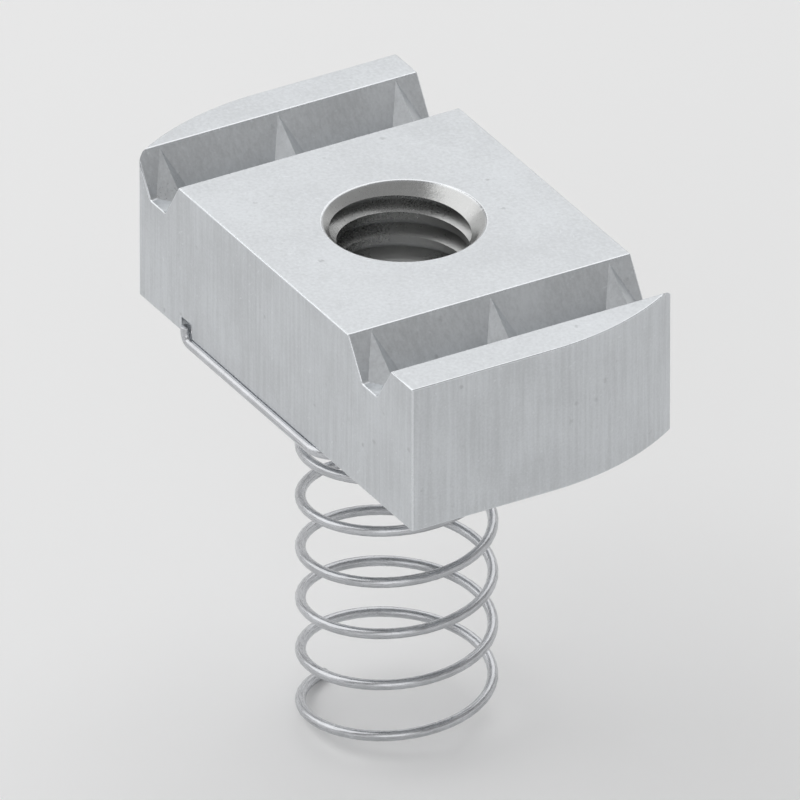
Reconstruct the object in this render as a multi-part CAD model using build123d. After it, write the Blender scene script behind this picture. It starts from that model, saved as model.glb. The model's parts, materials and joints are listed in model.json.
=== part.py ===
from build123d import *

import os
from math import asin, cos, degrees, pi, radians, sin, sqrt, tan

# Strut spring nut: a toothed channel nut with a coil spring hooked to its underside.
# Millimetres. +X runs along the length of the nut, +Y across it and +Z up, out of the toothed face.
# Both pieces are drawn down from the toothed face, on the axis of the threaded hole, and are then
# raised by half the nut's thickness, so that the origin is midway down the hole.

# Nut body: 3/8 in plate, sized for a 1 5/8 in strut channel
NUT_LENGTH = 34.925
NUT_WIDTH = 19.05
NUT_THICKNESS = 9.525

# Threaded hole for a 3/8-16 bolt: the bore is the minor diameter, the countersinks clear the major
BORE_DIAMETER = 7.94
COUNTERSINK_DIAMETER = 9.65
COUNTERSINK_ANGLE = 90

# Two grooves that take the inturned lips of the channel
GROOVE_SPACING = 24.9
GROOVE_TOP_WIDTH = 4.95
GROOVE_FLOOR_WIDTH = 1.75
GROOVE_DEPTH = 2.5
GROOVE_CORNER_RADIUS = 0.35

# Knife-edged teeth across each groove, which bite into the lips
TEETH_PER_GROOVE = 3
TOOTH_SPACING = 8.0
TOOTH_WIDTH_AT_FLOOR = 2.2
TOOTH_VALLEY_HEIGHT = 0.45
TOOTH_TOP_DROP = 0.12
TOOTH_BACK_RUN = 1.5

# Coil of spring wire, right-handed, with a plain open end at the bottom
WIRE_DIAMETER = 0.64
WIRE_FLATS = 8
COIL_MEAN_DIAMETER = 11.35
COIL_CENTRE_Y = -0.5
COIL_PITCH = 3.48
COIL_TURNS = 7.2
OPENING_TURNS = 1.25
POINTS_PER_TURN = 24

# Clip that holds the coil: a leg along the nut's bottom edge, its end hooked up into a notch
HOOK_X = -9.12
HOOK_RISE = 0.6
HOOK_BEND_RADIUS = 0.62
LEG_END_X = 5.4
NOTCH_HEIGHT = 0.95

# Clearances, and how far a cutting tool runs out past a face
SEAT_GAP = 0.02
NOTCH_CLEARANCE = 0.14
RUN_OUT = 1.0

half_length = NUT_LENGTH / 2
half_width = NUT_WIDTH / 2
wire_radius = WIRE_DIAMETER / 2
coil_radius = COIL_MEAN_DIAMETER / 2
wire_z = -NUT_THICKNESS - SEAT_GAP - wire_radius


def nut_blank():
    """Plate with two opposite corners rounded about the hole, so that it can turn in the channel."""
    end_flat = Line((half_length, -half_width), (half_length, 0))
    end_round = CenterArc((0, 0), half_length, 0, degrees(asin(half_width / half_length)))
    side = Line(end_round @ 1, (-half_length, half_width))
    near_half = [end_flat, end_round, side]
    far_half = [edge.rotate(Axis.Z, 180) for edge in near_half]
    outline = Face(Wire(near_half + far_half))
    return Pos(0, 0, -NUT_THICKNESS) * extrude(outline, NUT_THICKNESS)


def tooth(wall_side, y):
    """Pyramid whose crest falls from the top of one groove wall to the valley in mid-groove.

    wall_side is +1 or -1, towards the wall it stands on; x is measured from mid-groove.
    """
    wall_run = (GROOVE_TOP_WIDTH - GROOVE_FLOOR_WIDTH) / 2
    apex_x = GROOVE_TOP_WIDTH / 2 - wall_run * TOOTH_TOP_DROP / GROOVE_DEPTH
    valley_depth = GROOVE_DEPTH - TOOTH_VALLEY_HEIGHT
    base_depth = GROOVE_DEPTH + RUN_OUT
    crest_run = apex_x / (valley_depth - TOOTH_TOP_DROP)
    foot_run = wall_run / GROOVE_DEPTH
    spread = TOOTH_WIDTH_AT_FLOOR / 2 / (GROOVE_DEPTH - TOOTH_TOP_DROP)
    drop = base_depth - TOOTH_TOP_DROP
    crest_x = apex_x - crest_run * drop
    # The flanks run on behind the wall, so that the whole back of the pyramid lies in the metal
    back_x = crest_x + TOOTH_BACK_RUN * (crest_run - foot_run) * drop
    back_y = TOOTH_BACK_RUN * spread * drop
    base = Polyline(
        (wall_side * crest_x, y, -base_depth),
        (wall_side * back_x, y - back_y, -base_depth),
        (wall_side * back_x, y + back_y, -base_depth),
        close=True,
    )
    apex = Vertex(wall_side * apex_x, y, -TOOTH_TOP_DROP)
    return loft([Face(Wire(base)), apex], ruled=True)


def groove_cut():
    """What is cut out for one lip: a tapered slot across the nut, with its teeth left standing."""
    wall_slope = (GROOVE_TOP_WIDTH - GROOVE_FLOOR_WIDTH) / 2 / GROOVE_DEPTH
    mouth = GROOVE_TOP_WIDTH / 2 + wall_slope * RUN_OUT
    floor = GROOVE_FLOOR_WIDTH / 2
    profile = Polygon(
        (-mouth, RUN_OUT), (-floor, -GROOVE_DEPTH), (floor, -GROOVE_DEPTH), (mouth, RUN_OUT), align=None
    )
    bottom_corners = profile.vertices().sort_by(Axis.Y)[:2]
    profile = fillet(bottom_corners, min(GROOVE_CORNER_RADIUS, floor / 2))
    slot = extrude(Plane.XZ * profile, half_width + RUN_OUT, both=True)
    middle = (TEETH_PER_GROOVE - 1) / 2
    for wall_side in (-1, 1):
        for number in range(TEETH_PER_GROOVE):
            slot -= tooth(wall_side, (number - middle) * TOOTH_SPACING)
    return slot


def bore_cut():
    """Bore with a countersink at each face, as one turned shape."""
    bore = BORE_DIAMETER / 2
    slope = tan(radians(COUNTERSINK_ANGLE / 2))
    sink_depth = (COUNTERSINK_DIAMETER / 2 - bore) / slope
    mouth = COUNTERSINK_DIAMETER / 2 + slope * RUN_OUT
    profile = Polygon(
        (0, RUN_OUT),
        (0, -NUT_THICKNESS - RUN_OUT),
        (mouth, -NUT_THICKNESS - RUN_OUT),
        (bore, -NUT_THICKNESS + sink_depth),
        (bore, -sink_depth),
        (mouth, RUN_OUT),
        align=None,
    )
    return revolve(Plane.XZ * profile, Axis.Z)


def notch_cut():
    """Notch in the bottom edge of the nut's near side, as wide as the hook's bend needs."""
    reach = wire_radius + NOTCH_CLEARANCE
    return Pos(HOOK_X, -half_width, -NUT_THICKNESS) * Box(2 * HOOK_BEND_RADIUS, 2 * reach, 2 * NOTCH_HEIGHT)


def channel_nut():
    nut = nut_blank() - bore_cut() - notch_cut()
    for end in (-1, 1):
        nut -= Pos(end * GROOVE_SPACING / 2, 0, 0) * groove_cut()
    return nut


def coil_point(turns):
    """Centre of the wire after so many turns, wound clockwise going down.

    The first turns lie against the nut and open evenly to the full pitch.
    """
    if turns < OPENING_TURNS:
        pitches = turns**2 / (2 * OPENING_TURNS)
    else:
        pitches = turns - OPENING_TURNS / 2
    angle = -pi / 2 - 2 * pi * turns
    x = coil_radius * cos(angle)
    y = COIL_CENTRE_Y + coil_radius * sin(angle)
    return Vector(x, y, wire_z - COIL_PITCH * pitches)


def clip_path():
    """Hook, leg under the nut's near edge, U-turn, and the run that meets the coil."""
    run_y = COIL_CENTRE_Y - coil_radius
    bend_middle = HOOK_BEND_RADIUS * (1 - sin(pi / 4))
    turn_radius = (run_y + half_width) / 2
    hook_top = (HOOK_X, -half_width, HOOK_RISE - NUT_THICKNESS)
    bend_start = (HOOK_X, -half_width, wire_z + HOOK_BEND_RADIUS)
    bend_end = (HOOK_X + HOOK_BEND_RADIUS, -half_width, wire_z)
    leg_end = (LEG_END_X, -half_width, wire_z)
    return [
        Line(hook_top, bend_start),
        ThreePointArc(bend_start, (HOOK_X + bend_middle, -half_width, wire_z + bend_middle), bend_end),
        Line(bend_end, leg_end),
        ThreePointArc(
            leg_end,
            (LEG_END_X + turn_radius, run_y - turn_radius, wire_z),
            (LEG_END_X, run_y, wire_z),
        ),
        Line((LEG_END_X, run_y, wire_z), coil_point(0)),
    ]


def coil_path():
    steps = round(COIL_TURNS * POINTS_PER_TURN)
    points = [coil_point(COIL_TURNS * step / steps) for step in range(steps + 1)]
    end_angle = -pi / 2 - 2 * pi * COIL_TURNS
    end_direction = (sin(end_angle), -cos(end_angle), -COIL_PITCH / (2 * pi * coil_radius))
    return Spline(*points, tangents=[(-1, 0, 0), end_direction], tangent_scalars=[1, 1])


def wire_section():
    """The round wire, drawn with a few flats that enclose the same area."""
    corner_radius = wire_radius * sqrt(2 * pi / WIRE_FLATS / sin(2 * pi / WIRE_FLATS))
    return RegularPolygon(corner_radius, WIRE_FLATS, rotation=180 / WIRE_FLATS)


def coil_spring():
    path = Wire(clip_path() + [coil_path()])
    return sweep(Plane(path @ 0, z_dir=path % 0) * wire_section(), path=path)


to_origin = Pos(0, 0, NUT_THICKNESS / 2)

os.makedirs("parts", exist_ok=True)
export_step(to_origin * channel_nut(), "parts/channel_nut.step")
export_step(to_origin * coil_spring(), "parts/coil_spring.step")
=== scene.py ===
import json
from contextlib import contextmanager
from math import cos, pi, radians, sin, tan

import bmesh
import bpy
from bpy.props import FloatProperty, FloatVectorProperty, IntProperty, PointerProperty
from mathutils import Matrix, Vector


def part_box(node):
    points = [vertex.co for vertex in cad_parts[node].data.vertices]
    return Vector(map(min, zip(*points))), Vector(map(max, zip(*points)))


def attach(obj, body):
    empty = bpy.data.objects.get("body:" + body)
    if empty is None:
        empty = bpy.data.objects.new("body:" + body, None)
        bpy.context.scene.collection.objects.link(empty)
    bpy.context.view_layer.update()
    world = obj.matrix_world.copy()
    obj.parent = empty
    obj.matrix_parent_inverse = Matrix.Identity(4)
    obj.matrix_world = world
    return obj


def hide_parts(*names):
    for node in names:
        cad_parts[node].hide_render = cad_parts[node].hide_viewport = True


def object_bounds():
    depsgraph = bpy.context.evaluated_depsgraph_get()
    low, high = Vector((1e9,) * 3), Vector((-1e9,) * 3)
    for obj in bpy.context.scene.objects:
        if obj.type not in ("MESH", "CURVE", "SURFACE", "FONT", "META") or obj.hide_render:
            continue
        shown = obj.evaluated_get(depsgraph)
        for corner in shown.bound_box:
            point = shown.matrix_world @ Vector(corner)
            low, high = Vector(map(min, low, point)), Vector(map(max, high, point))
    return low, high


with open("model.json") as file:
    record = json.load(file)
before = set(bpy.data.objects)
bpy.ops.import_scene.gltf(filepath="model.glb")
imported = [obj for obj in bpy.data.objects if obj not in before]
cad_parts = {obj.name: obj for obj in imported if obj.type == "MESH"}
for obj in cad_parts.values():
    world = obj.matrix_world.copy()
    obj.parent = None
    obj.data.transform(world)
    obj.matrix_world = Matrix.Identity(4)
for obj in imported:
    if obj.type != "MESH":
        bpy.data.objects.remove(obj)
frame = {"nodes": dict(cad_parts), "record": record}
cad_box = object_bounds()

bl_info = {
    "name": "Strut Spring Nut",
    "version": (1, 0, 0),
    "blender": (4, 5, 0),
    "location": "3D View > Sidebar > Spring Nut",
    "description": "Dresses a toothed channel nut and its coil spring, and lights them",
    "category": "Add Mesh",
}

# Metres, in the CAD's frame: the origin is on the thread's axis, midway down the hole. +X runs along the
# nut's length, +Y across it and +Z up, out of the toothed face, and the spring hangs towards -Z.
MM = 0.001
INCH = 25.4 * MM
# Points closer together than this are one point, and places that agree to within a hair are one place
WELD = 0.001 * MM
HAIR = 0.05 * MM
nut_low, nut_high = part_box("channel_nut")
thread_mount = next(m for m in frame["record"]["mounts"] if m["name"] == "thread")


class NutSizes(bpy.types.PropertyGroup):
    """Sizes of the thread and of the worn edges of the nut."""

    thread_pitch: FloatProperty(
        name="Thread pitch",
        description="Rise of the thread in one turn, 16 to the inch",
        default=INCH / 16,
        subtype="DISTANCE",
        unit="LENGTH",
    )
    thread_major_radius: FloatProperty(
        name="Thread major radius",
        description="Radius at the root of the inside thread",
        default=INCH * 3 / 16,
        subtype="DISTANCE",
        unit="LENGTH",
    )
    bore_radius: FloatProperty(
        name="Bore radius",
        description="Radius at the crest of the inside thread",
        default=thread_mount["dims"]["r_mm"] * MM,
        subtype="DISTANCE",
        unit="LENGTH",
    )
    ridge_clearance: FloatProperty(
        name="Ridge clearance",
        description="How far the tap's rod stays clear of the bore between its ridges",
        default=0.04 * MM,
        subtype="DISTANCE",
        unit="LENGTH",
    )
    steps_per_turn: IntProperty(
        name="Steps per turn",
        description="How finely the thread is turned",
        default=72,
        min=12,
    )
    edge_round: FloatProperty(
        name="Edge rounding",
        description="How far the tumbled edges are rounded",
        default=0.09 * MM,
        subtype="DISTANCE",
        unit="LENGTH",
    )


class SpringSizes(bpy.types.PropertyGroup):
    """Sizes of the wire clip and the coil."""

    wire_radius: FloatProperty(
        name="Wire radius",
        description="Half the thickness of the spring wire",
        default=0.32 * MM,
        subtype="DISTANCE",
        unit="LENGTH",
    )
    end_round: FloatProperty(
        name="End rounding",
        description="How far the rim of the wire's cut ends is rounded",
        default=0.07 * MM,
        subtype="DISTANCE",
        unit="LENGTH",
    )
    seat_gap: FloatProperty(
        name="Seat gap",
        description="Clearance between the nut's bottom face and the wire under it",
        default=0.02 * MM,
        subtype="DISTANCE",
        unit="LENGTH",
    )
    coil_radius: FloatProperty(
        name="Coil radius",
        description="From the coil's axis to the middle of the wire",
        default=5.675 * MM,
        subtype="DISTANCE",
        unit="LENGTH",
    )
    coil_centre_y: FloatProperty(
        name="Coil offset",
        description="How far the coil's axis lies from the thread's, along Y",
        default=-0.5 * MM,
        subtype="DISTANCE",
        unit="LENGTH",
    )
    coil_pitch: FloatProperty(
        name="Coil pitch",
        description="Drop of the coil in one turn, once it is open",
        default=3.48 * MM,
        subtype="DISTANCE",
        unit="LENGTH",
    )
    coil_turns: FloatProperty(
        name="Coil turns",
        description="Turns from the nut to the open end",
        default=7.2,
        min=1,
    )
    opening_turns: FloatProperty(
        name="Opening turns",
        description="Turns over which the coil opens to its full pitch",
        default=1.25,
        min=0.1,
    )
    hook_x: FloatProperty(
        name="Hook place",
        description="Where the hook stands in its notch, along X",
        default=-9.12 * MM,
        subtype="DISTANCE",
        unit="LENGTH",
    )
    hook_rise: FloatProperty(
        name="Hook rise",
        description="How far the hook reaches up past the nut's bottom face",
        default=0.6 * MM,
        subtype="DISTANCE",
        unit="LENGTH",
    )
    bend_radius: FloatProperty(
        name="Hook bend",
        description="Radius of the hook's bend",
        default=0.62 * MM,
        subtype="DISTANCE",
        unit="LENGTH",
    )
    leg_end_x: FloatProperty(
        name="Leg end",
        description="Where the straight leg ends and the U-turn starts, along X",
        default=5.4 * MM,
        subtype="DISTANCE",
        unit="LENGTH",
    )
    steps_per_turn: IntProperty(
        name="Steps per turn",
        description="How finely the coil and the U-turn are bent",
        default=48,
        min=12,
    )
    bend_steps: IntProperty(
        name="Bend steps",
        description="How finely the hook's quarter bend is bent",
        default=8,
        min=2,
    )


class Finishes(bpy.types.PropertyGroup):
    """Colours of the metals, and how far the oil in the thread reaches."""

    plate_colour: FloatVectorProperty(
        name="Zinc plate",
        description="Colour of the plated nut",
        default=(0.62, 0.64, 0.66),
        subtype="COLOR",
        min=0,
        max=1,
    )
    thread_colour: FloatVectorProperty(
        name="Oily thread",
        description="Colour of the plate in the thread, under its oil",
        default=(0.46, 0.46, 0.45),
        subtype="COLOR",
        min=0,
        max=1,
    )
    oily_radius: FloatProperty(
        name="Oily radius",
        description="Distance from the thread's axis at which the oil ends",
        default=4.95 * MM,
        subtype="DISTANCE",
        unit="LENGTH",
    )
    oil_fade: FloatProperty(
        name="Oil fade",
        description="How far in from there the oil is at its full strength",
        default=0.3 * MM,
        subtype="DISTANCE",
        unit="LENGTH",
    )
    wire_colour: FloatVectorProperty(
        name="Spring wire",
        description="Colour of the drawn wire",
        default=(0.55, 0.56, 0.58),
        subtype="COLOR",
        min=0,
        max=1,
    )


class StageSizes(bpy.types.PropertyGroup):
    """Floor, even light and camera. The camera looks at the aim from that turn and rise."""

    floor_reach: FloatProperty(
        name="Floor reach",
        description="From the middle of the floor to each of its sides",
        default=3.0,
        subtype="DISTANCE",
        unit="LENGTH",
    )
    floor_colour: FloatVectorProperty(
        name="Floor",
        description="Colour of the floor",
        default=(0.94, 0.94, 0.94),
        subtype="COLOR",
        min=0,
        max=1,
    )
    wall_light: FloatProperty(
        name="Wall light",
        description="Strength of the even light from the pale walls all round",
        default=0.85,
        min=0,
    )
    ceiling_light: FloatProperty(
        name="Ceiling light",
        description="Strength of the even light from overhead",
        default=0.4,
        min=0,
    )
    view_width: FloatProperty(
        name="View width",
        description="Width that the camera takes in at the object",
        default=46.8 * MM,
        subtype="DISTANCE",
        unit="LENGTH",
    )
    view_distance: FloatProperty(
        name="View distance",
        description="From the camera to the point that it looks at",
        default=2.0,
        subtype="DISTANCE",
        unit="LENGTH",
    )
    view_turn: FloatProperty(
        name="View turn",
        description="How far round the camera stands from the nut's near long side",
        default=radians(60),
        subtype="ANGLE",
        unit="ROTATION",
    )
    view_rise: FloatProperty(
        name="View rise",
        description="How far above level the camera looks down from",
        default=radians(30),
        subtype="ANGLE",
        unit="ROTATION",
    )
    aim: FloatVectorProperty(
        name="Aim",
        description="Point that the camera looks at",
        default=(4.43 * MM, -2.83 * MM, nut_high.z - 9.09 * MM),
        subtype="TRANSLATION",
        unit="LENGTH",
    )


class Shade:
    """A socket in a shader. Arithmetic on it adds the Math nodes that work it out."""

    def __init__(self, tree, socket=None):
        self.tree = tree
        self.socket = socket

    def node(self, kind, settings=None, inputs=None, output=0):
        """Adds a node of that kind, with its settings set first, and gives one of its outputs."""
        made = self.tree.nodes.new("ShaderNode" + kind)
        for name, value in (settings or {}).items():
            setattr(made, name, value)
        for name, value in (inputs or {}).items():
            if isinstance(value, Shade):
                self.tree.links.new(value.socket, made.inputs[name])
            else:
                made.inputs[name].default_value = value
        return Shade(self.tree, made.outputs[output] if made.outputs else None)

    def maths(self, operation, first, second=0.0):
        return self.node("Math", {"operation": operation}, {0: first, 1: second})

    def __add__(self, other):
        return self.maths("ADD", self, other)

    def __radd__(self, other):
        return self.maths("ADD", other, self)

    def __sub__(self, other):
        return self.maths("SUBTRACT", self, other)

    def __rsub__(self, other):
        return self.maths("SUBTRACT", other, self)

    def __mul__(self, other):
        return self.maths("MULTIPLY", self, other)

    def __rmul__(self, other):
        return self.maths("MULTIPLY", other, self)

    def step(self, low, high):
        """Goes smoothly from 0 at low to 1 at high, which may be the smaller of the two."""
        return self.node(
            "MapRange",
            {"interpolation_type": "SMOOTHSTEP"},
            {"Value": self, "From Min": low, "From Max": high},
        )


def new_material(name):
    material = bpy.data.materials.new(name)
    material.use_nodes = True
    material.node_tree.nodes.clear()
    return material, Shade(material.node_tree)


def blend_colours(shade, factor, first, second):
    """First colour at factor 0, second at 1. The node's colour sockets have to be called by number."""
    return shade.node("Mix", {"data_type": "RGBA"}, {0: factor, 6: first, 7: second}, output=2)


def rgba(colour, scale=1.0):
    return (colour[0] * scale, colour[1] * scale, colour[2] * scale, 1)


def noise(shade, place, scale, detail, roughness=0.5, output="Fac"):
    inputs = {"Vector": place, "Scale": scale, "Detail": detail, "Roughness": roughness}
    return shade.node("TexNoise", {}, inputs, output)


def stretched_noise(shade, place, stretch, turn, scale):
    """Noise drawn out along an axis, after the place is turned by those angles."""
    turned = shade.node("Mapping", {}, {"Vector": place, "Rotation": turn})
    drawn_out = shade.node("Mapping", {}, {"Vector": turned, "Scale": stretch})
    return noise(shade, drawn_out, scale, 2)


def metal(shade, colour, roughness, height, strength, depth):
    """Bare metal with that colour and roughness, its surface raised by the height times the depth."""
    bump = shade.node("Bump", {}, {"Strength": strength, "Distance": depth, "Height": height})
    inputs = {"Base Color": colour, "Metallic": 1.0, "Roughness": roughness, "Normal": bump}
    shade.node("OutputMaterial", {}, {"Surface": shade.node("BsdfPrincipled", {}, inputs)})


def zinc_plate(finish):
    """Bright zinc on cut steel: grain, cutting lines, nicks, scratches, an oily bore, and edges painted
    lighter, partly wear and partly painted highlight.
    """
    material, shade = new_material("zinc_plated_steel")
    place = shade.node("TexCoord", output="Object")
    clouds = noise(shade, place, 210, 4, 0.55)
    grain = noise(shade, place, 7000, 3, 0.6)
    # These lines stand upright on the sides, where the nut was cut from its bar
    cut_lines = stretched_noise(shade, place, (1, 1, 0.04), (0, 0, 0), 4200)
    # A nick is a small spot at the middle of a cell, where the clouds are dense; shaking makes it ragged
    shake = noise(shade, place, 5000, 1, output="Color")
    shake_reach = (0.3 * MM,) * 3
    shaken = shade.node("VectorMath", {"operation": "MULTIPLY_ADD"}, {0: shake, 1: shake_reach, 2: place})
    spots = shade.node("TexVoronoi", {}, {"Vector": shaken, "Scale": 560}).step(0.13, 0.03)
    nicks = spots * clouds.step(0.4, 0.6)
    # Two sets of scratches run different ways
    one_way = stretched_noise(shade, place, (0.03, 1, 1), (0.5, 0.3, 0.6), 3800)
    other_way = stretched_noise(shade, place, (0.04, 1, 1), (-0.4, 0.2, -0.9), 3000)
    scratches = one_way.step(0.7, 0.76) + other_way.step(0.7, 0.76)
    # The rounded edges are painted lighter below: partly wear, partly a painted highlight that outlines
    # them
    wear_and_highlight = shade.node("Attribute", {"attribute_name": "edge_wear_and_highlight"}, output="Fac")
    # The oil ends just outside the countersink's mouth
    across = shade.node("Mapping", {}, {"Vector": place, "Scale": (1, 1, 0)})
    from_axis = shade.node("VectorMath", {"operation": "LENGTH"}, {"Vector": across}, output="Value")
    oily = from_axis.step(finish.oily_radius, finish.oily_radius - finish.oil_fade)

    tone = 0.5 + (clouds - 0.5) * 0.7 + (grain - 0.5) * 0.5 + (cut_lines - 0.5) * 0.5
    dark, light = rgba(finish.plate_colour, 0.86), rgba(finish.plate_colour, 1.08)
    plate = blend_colours(shade, tone.step(0.2, 0.8), dark, light)
    plate = blend_colours(shade, nicks * 0.5, plate, rgba(finish.plate_colour, 0.6))
    # Lighter scratches are wear. The lighter rounded edges are partly wear and partly painted highlight
    plate = blend_colours(shade, scratches * 0.35 + wear_and_highlight * 0.7, plate, rgba(finish.plate_colour, 1.25))
    plate = blend_colours(shade, oily * 0.8, plate, rgba(finish.thread_colour))
    roughness = 0.36 + (clouds - 0.5) * 0.25 + (grain - 0.5) * 0.2 - wear_and_highlight * 0.1 - oily * 0.06
    height = grain * 0.5 + cut_lines * 0.5 + clouds * 0.6 - nicks * 0.8 - scratches * 0.3
    metal(shade, plate, roughness, height, strength=0.35, depth=0.03 * MM)
    return material


def drawn_wire(finish):
    """Spring wire, with fine lines from the drawing die along its length and faint darker patches."""
    material, shade = new_material("drawn_spring_wire")
    # The wire's own map runs along it in one direction and once round it in the other
    wrap = shade.node("UVMap", {"uv_map": "UVMap"})
    along = shade.node("SeparateXYZ", {}, {"Vector": wrap}, output="X")
    around = shade.node("SeparateXYZ", {}, {"Vector": wrap}, output="Y") * (2 * pi)
    ring = {"X": shade.maths("COSINE", around), "Y": shade.maths("SINE", around), "Z": along * 60}
    lines = noise(shade, shade.node("CombineXYZ", {}, ring), 6, 3, 0.6)
    place = shade.node("TexCoord", output="Object")
    patches = noise(shade, place, 420, 3, 0.6)
    specks = noise(shade, place, 9000, 2)
    tone = 0.5 + (lines - 0.5) * 0.8 + (patches - 0.5) * 0.6
    dark, light = rgba(finish.wire_colour, 0.78), rgba(finish.wire_colour, 1.12)
    wire = blend_colours(shade, tone.step(0.25, 0.75), dark, light)
    wire = blend_colours(shade, specks.step(0.66, 0.74) * 0.5, wire, rgba(finish.wire_colour, 0.55))
    roughness = 0.27 + (lines - 0.5) * 0.25 + (patches - 0.5) * 0.15
    metal(shade, wire, roughness, lines + specks * 0.3, strength=0.3, depth=0.01 * MM)
    return material


def new_piece(name, mesh, material):
    piece = bpy.data.objects.new(name, mesh)
    bpy.context.scene.collection.objects.link(piece)
    mesh.materials.clear()
    mesh.materials.append(material)
    return piece


@contextmanager
def editing(mesh):
    """Opens the mesh as a bmesh, and writes it back when the work on it is done."""
    form = bmesh.new()
    form.from_mesh(mesh)
    yield form
    form.to_mesh(mesh)
    form.free()


def finished_mesh(form, name):
    """A new mesh from the bmesh, which is done with."""
    mesh = bpy.data.meshes.new(name)
    form.to_mesh(mesh)
    form.free()
    return mesh


def weld(form):
    bmesh.ops.remove_doubles(form, verts=form.verts[:], dist=WELD)


def bevel(form, edges, radius):
    """Rounds those edges in two flats, and gives the new faces."""
    rounded = bmesh.ops.bevel(
        form,
        geom=edges,
        offset=radius,
        offset_type="OFFSET",
        segments=2,
        profile=0.5,
        affect="EDGES",
        material=-1,
        clamp_overlap=False,
    )
    return rounded["faces"]


def shade_smooth(form, sharpest, sharpest_when_rounded=radians(50)):
    """Smooth shading. Edges past that angle stay sharp, and those of a rounded edge past the wider one."""
    form.normal_update()
    wear_and_highlight = form.faces.layers.float.get("edge_wear_and_highlight")
    for face in form.faces:
        face.smooth = True
    for edge in form.edges:
        rounded = wear_and_highlight and any(face[wear_and_highlight] > 0.5 for face in edge.link_faces)
        edge.smooth = edge.calc_face_angle(0) < (sharpest_when_rounded if rounded else sharpest)


def clean_cut(form):
    """Joins the points that a cut leaves almost in one place, and drops those that only split an edge."""
    weld(form)
    bmesh.ops.dissolve_verts(form, verts=[vert for vert in form.verts if len(vert.link_edges) == 2])


def round_wire_ends(form, radius):
    """Makes each cut end of the wire one face, and breaks its sharp rim."""
    weld(form)
    rims = [edge for edge in form.edges if edge.calc_face_angle(0) > radians(60)]
    rim_points = {vert for edge in rims for vert in edge.verts}
    across = [edge for edge in form.edges if edge not in rims and rim_points.issuperset(edge.verts)]
    bmesh.ops.dissolve_edges(form, edges=across)
    bevel(form, rims, radius)


def tap_shape(sizes, low, high):
    """Closed rod with an outside thread, a little smaller than the bore between its ridges."""
    pitch = sizes.thread_pitch
    half_crest = pitch / 8 / 2
    rod_radius = sizes.bore_radius - sizes.ridge_clearance
    flank_angle = radians(30)
    half_foot = half_crest + (sizes.thread_major_radius - rod_radius) * tan(flank_angle)
    profile = [
        (rod_radius, -pitch / 2),
        (rod_radius, -half_foot),
        (sizes.thread_major_radius, -half_crest),
        (sizes.thread_major_radius, half_crest),
        (rod_radius, half_foot),
        (rod_radius, pitch / 2),
    ]
    spare_turns = 3
    turns = round((high - low) / pitch) + spare_turns
    start = low - spare_turns / 2 * pitch
    form = bmesh.new()
    corners = [form.verts.new((radius, 0, start + z)) for radius, z in profile]
    for one, other in zip(corners, corners[1:]):
        form.edges.new((one, other))
    bmesh.ops.spin(
        form,
        geom=form.verts[:] + form.edges[:],
        cent=(0, 0, 0),
        axis=(0, 0, 1),
        dvec=(0, 0, pitch / sizes.steps_per_turn),
        angle=2 * pi * turns,
        steps=turns * sizes.steps_per_turn,
        use_merge=False,
    )
    weld(form)
    for height, direction in ((low, -1), (high, 1)):
        bmesh.ops.bisect_plane(
            form,
            geom=form.verts[:] + form.edges[:] + form.faces[:],
            plane_co=(0, 0, height),
            plane_no=(0, 0, direction),
            clear_outer=True,
        )
        rim = [edge for edge in form.edges if edge.is_boundary]
        rim = [edge for edge in rim if all(abs(vert.co.z - height) < WELD for vert in edge.verts)]
        bmesh.ops.contextual_create(form, geom=rim)
    bmesh.ops.recalc_face_normals(form, faces=form.faces[:])
    return finished_mesh(form, "tap")


def rounded_edges(form, sizes):
    """The outer edges that tumbling rounds: not those in the bore, nor those of the teeth and grooves."""
    bore_reach = sizes.bore_radius + 0.2 * MM
    # The grooves, teeth and all, lie within these two
    grooves_reach = 16 * MM
    grooves_depth = 3 * MM
    chosen = []
    for edge in form.edges:
        if not edge.is_convex or edge.calc_face_angle(0) < radians(25):
            continue
        middle = (edge.verts[0].co + edge.verts[1].co) / 2
        between_sides = abs(middle.y) < nut_high.y - HAIR
        between_ends = abs(middle.x) < grooves_reach
        below_top = HAIR < nut_high.z - middle.z < grooves_depth
        in_groove = between_sides and between_ends and below_top
        if middle.xy.length > bore_reach and not in_groove:
            chosen.append(edge)
    return chosen


def evaluated_mesh(piece):
    """The piece's mesh as its modifiers or its bevel leave it."""
    bpy.context.view_layer.update()
    return bpy.data.meshes.new_from_object(piece.evaluated_get(bpy.context.evaluated_depsgraph_get()))


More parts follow.
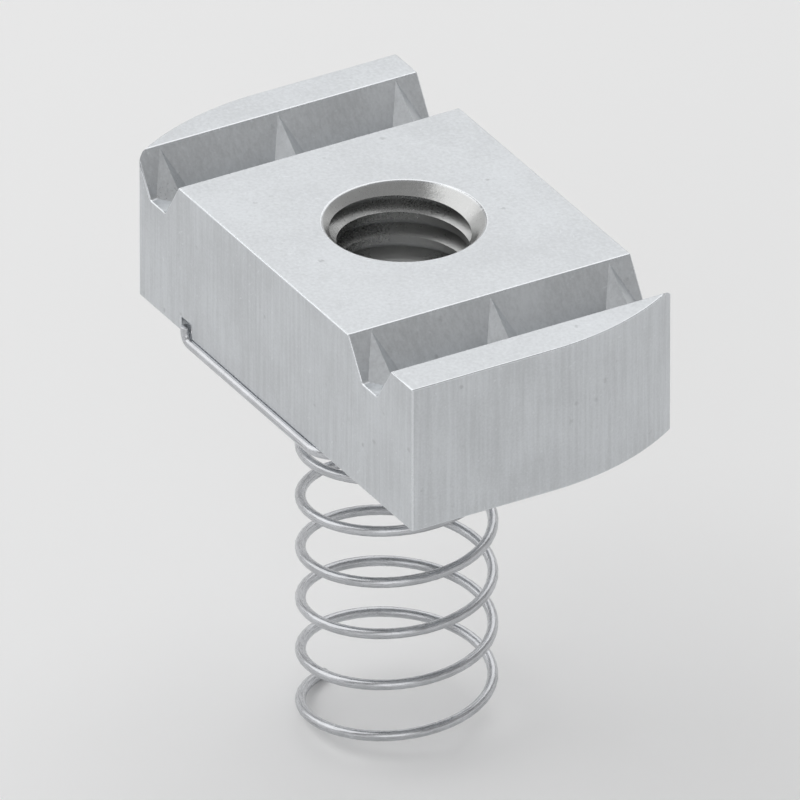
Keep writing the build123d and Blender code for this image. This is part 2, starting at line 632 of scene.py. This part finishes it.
class BuildNut(bpy.types.Operator):
    """Rounds the nut's outer edges, cuts its thread and plates it."""

    bl_idname = "mesh.dress_channel_nut"
    bl_label = "Channel nut"

    def execute(self, context):
        sizes = context.scene.spring_nut_body
        form = bmesh.new()
        form.from_mesh(frame["nodes"]["channel_nut"].data)
        weld(form)
        # The flat faces come as triangles, which are joined first
        bmesh.ops.dissolve_limit(
            form,
            angle_limit=radians(0.6),
            use_dissolve_boundaries=False,
            verts=form.verts[:],
            edges=form.edges[:],
            delimit=set(),
        )
        # This marks the rounded edges, which the plate paints lighter: partly wear, partly painted
        # highlight
        wear_and_highlight = form.faces.layers.float.new("edge_wear_and_highlight")
        for face in bevel(form, rounded_edges(form, sizes), sizes.edge_round):
            face[wear_and_highlight] = 1
        material = zinc_plate(context.scene.spring_nut_finish)
        nut = new_piece("nut_body", finished_mesh(form, "nut_body"), material)
        run_out = 1 * MM
        tap = new_piece("tap", tap_shape(sizes, nut_low.z - run_out, nut_high.z + run_out), material)
        cut = nut.modifiers.new("Thread", "BOOLEAN")
        cut.operation = "DIFFERENCE"
        cut.solver = "EXACT"
        cut.object = tap
        nut.data = evaluated_mesh(nut)
        nut.modifiers.clear()
        bpy.data.objects.remove(tap)
        with editing(nut.data) as form:
            clean_cut(form)
            shade_smooth(form, radians(20))
        even = nut.modifiers.new("Even shading", "WEIGHTED_NORMAL")
        even.keep_sharp = True
        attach(nut, "root")
        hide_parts("channel_nut")
        return {"FINISHED"}


def arc_points(centre, start, end, axis, steps):
    """Points along the arc about centre from start to end, in the plane across that axis."""
    first = start - centre
    angle = first.angle(end - centre)
    return [centre + Matrix.Rotation(angle * step / steps, 3, axis) @ first for step in range(1, steps)]


def wire_route(sizes):
    """Middle of the wire from the hook's end to the coil's open end."""
    side = nut_low.y
    bottom = nut_low.z
    wire_z = bottom - sizes.seat_gap - sizes.wire_radius
    run_y = sizes.coil_centre_y - sizes.coil_radius
    bend = sizes.bend_radius
    hook_top = Vector((sizes.hook_x, side, bottom + sizes.hook_rise))
    bend_start = Vector((sizes.hook_x, side, wire_z + bend))
    bend_middle = Vector((sizes.hook_x + bend, side, wire_z + bend))
    bend_end = Vector((sizes.hook_x + bend, side, wire_z))
    leg_end = Vector((sizes.leg_end_x, side, wire_z))
    run_start = Vector((sizes.leg_end_x, run_y, wire_z))
    turn_middle = (leg_end + run_start) / 2
    route = [hook_top, bend_start]
    route += arc_points(bend_middle, bend_start, bend_end, Vector((0, -1, 0)), sizes.bend_steps)
    route += [bend_end, leg_end]
    route += arc_points(turn_middle, leg_end, run_start, Vector((0, 0, 1)), sizes.steps_per_turn // 2)
    route.append(run_start)
    # The coil starts at its near side and goes down clockwise, opening evenly to its full pitch
    steps = round(sizes.coil_turns * sizes.steps_per_turn)
    for step in range(steps + 1):
        turns = sizes.coil_turns * step / steps
        if turns < sizes.opening_turns:
            pitches = turns**2 / (2 * sizes.opening_turns)
        else:
            pitches = turns - sizes.opening_turns / 2
        angle = -pi / 2 - 2 * pi * turns
        x = sizes.coil_radius * cos(angle)
        y = sizes.coil_centre_y + sizes.coil_radius * sin(angle)
        route.append(Vector((x, y, wire_z - sizes.coil_pitch * pitches)))
    return route


class BuildSpring(bpy.types.Operator):
    """Bends the wire into its hook, leg, U-turn and coil."""

    bl_idname = "mesh.dress_coil_spring"
    bl_label = "Coil spring"

    def execute(self, context):
        sizes = context.scene.spring_nut_spring
        route = wire_route(sizes)
        line = bpy.data.curves.new("wire", "CURVE")
        line.dimensions = "3D"
        line.bevel_depth = sizes.wire_radius
        line.bevel_resolution = 6
        line.use_fill_caps = True
        spline = line.splines.new("POLY")
        spline.points.add(len(route) - 1)
        for point, place in zip(spline.points, route):
            point.co = (*place, 1)
        wire = bpy.data.objects.new("wire", line)
        context.scene.collection.objects.link(wire)
        mesh = evaluated_mesh(wire)
        bpy.data.objects.remove(wire)
        spring = new_piece("wire_spring", mesh, drawn_wire(context.scene.spring_nut_finish))
        with editing(mesh) as form:
            round_wire_ends(form, sizes.end_round)
            shade_smooth(form, radians(50))
        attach(spring, "root")
        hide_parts("coil_spring")
        return {"FINISHED"}


def soft_lamp(name, direction, distance, size, brightness):
    """Square lamp that faces the object from that direction. In a white mirror it looks that bright."""
    lamp = bpy.data.lights.new(name, "AREA")
    lamp.shape = "SQUARE"
    lamp.size = size
    lamp.energy = brightness * pi * size**2
    holder = bpy.data.objects.new(name, lamp)
    bpy.context.scene.collection.objects.link(holder)
    aim = (cad_box[0] + cad_box[1]) / 2
    holder.location = aim + Vector(direction).normalized() * distance
    holder.rotation_euler = (aim - holder.location).to_track_quat("-Z", "Y").to_euler()


class BuildStage(bpy.types.Operator):
    """Adds the floor, the lamps, the surroundings and the camera."""

    bl_idname = "scene.stage_spring_nut"
    bl_label = "Floor, lamps and camera"

    def execute(self, context):
        sizes = context.scene.spring_nut_stage
        form = bmesh.new()
        bmesh.ops.create_grid(form, x_segments=1, y_segments=1, size=sizes.floor_reach)
        bmesh.ops.translate(form, verts=form.verts[:], vec=(0, 0, cad_box[0].z))
        material, shade = new_material("pale_floor")
        matt = shade.node("BsdfDiffuse", {}, {"Color": rgba(sizes.floor_colour)})
        shade.node("OutputMaterial", {}, {"Surface": matt})
        floor = new_piece("floor", finished_mesh(form, "floor"), material)

        world = bpy.data.worlds.new("studio")
        world.use_nodes = True
        world.node_tree.nodes.clear()
        sky = Shade(world.node_tree)
        # In a world, Generated is the direction that is looked in
        looked_in = sky.node("TexCoord", output="Generated")
        upwards = sky.node("SeparateXYZ", {}, {"Vector": looked_in}, output="Z")
        ceiling = upwards.step(0.05, 0.6)
        strength = sizes.wall_light + ceiling * (sizes.ceiling_light - sizes.wall_light)
        background = sky.node("Background", {}, {"Color": (1, 1, 1, 1), "Strength": strength})
        sky.node("OutputWorld", {}, {"Surface": background})
        context.scene.world = world

        soft_lamp("key_lamp", (-0.75, -0.75, 1.0), distance=0.9, size=0.9, brightness=1.12)
        soft_lamp("top_lamp", (-0.55, 0.5, 0.9), distance=0.8, size=0.7, brightness=0.97)
        soft_lamp("fill_lamp", (0.9, -0.75, 0.6), distance=0.9, size=0.6, brightness=0.85)

        camera = bpy.data.cameras.new("camera")
        camera.lens = camera.sensor_width * sizes.view_distance / sizes.view_width
        camera.clip_start = 0.01
        camera.clip_end = 10
        holder = bpy.data.objects.new("camera", camera)
        context.scene.collection.objects.link(holder)
        turn, rise = sizes.view_turn, sizes.view_rise
        back = Vector((sin(turn) * cos(rise), -cos(turn) * cos(rise), sin(rise)))
        holder.location = Vector(sizes.aim) + back * sizes.view_distance
        holder.rotation_euler = (-back).to_track_quat("-Z", "Y").to_euler()
        context.scene.camera = holder
        context.scene.view_settings.view_transform = "Standard"
        return {"FINISHED"}


class SpringNutPanel(bpy.types.Panel):
    """Lists the pieces of the spring nut."""

    bl_label = "Spring Nut"
    bl_idname = "VIEW3D_PT_spring_nut"
    bl_space_type = "VIEW_3D"
    bl_region_type = "UI"
    bl_category = "Spring Nut"

    def draw(self, context):
        for operator in (BuildNut, BuildSpring, BuildStage):
            self.layout.operator(operator.bl_idname)
        for name in GROUPS:
            group = getattr(context.scene, name)
            box = self.layout.box()
            for key in group.__annotations__:
                box.prop(group, key)


GROUPS = {
    "spring_nut_body": NutSizes,
    "spring_nut_spring": SpringSizes,
    "spring_nut_finish": Finishes,
    "spring_nut_stage": StageSizes,
}
CLASSES = (*GROUPS.values(), BuildNut, BuildSpring, BuildStage, SpringNutPanel)


def register():
    for kind in CLASSES:
        bpy.utils.register_class(kind)
    for name, group in GROUPS.items():
        setattr(bpy.types.Scene, name, PointerProperty(type=group))


def unregister():
    for name in GROUPS:
        delattr(bpy.types.Scene, name)
    for kind in reversed(CLASSES):
        bpy.utils.unregister_class(kind)


def main():
    register()
    bpy.ops.mesh.dress_channel_nut()
    bpy.ops.mesh.dress_coil_spring()
    bpy.ops.scene.stage_spring_nut()


if __name__ == "__main__":
    main()
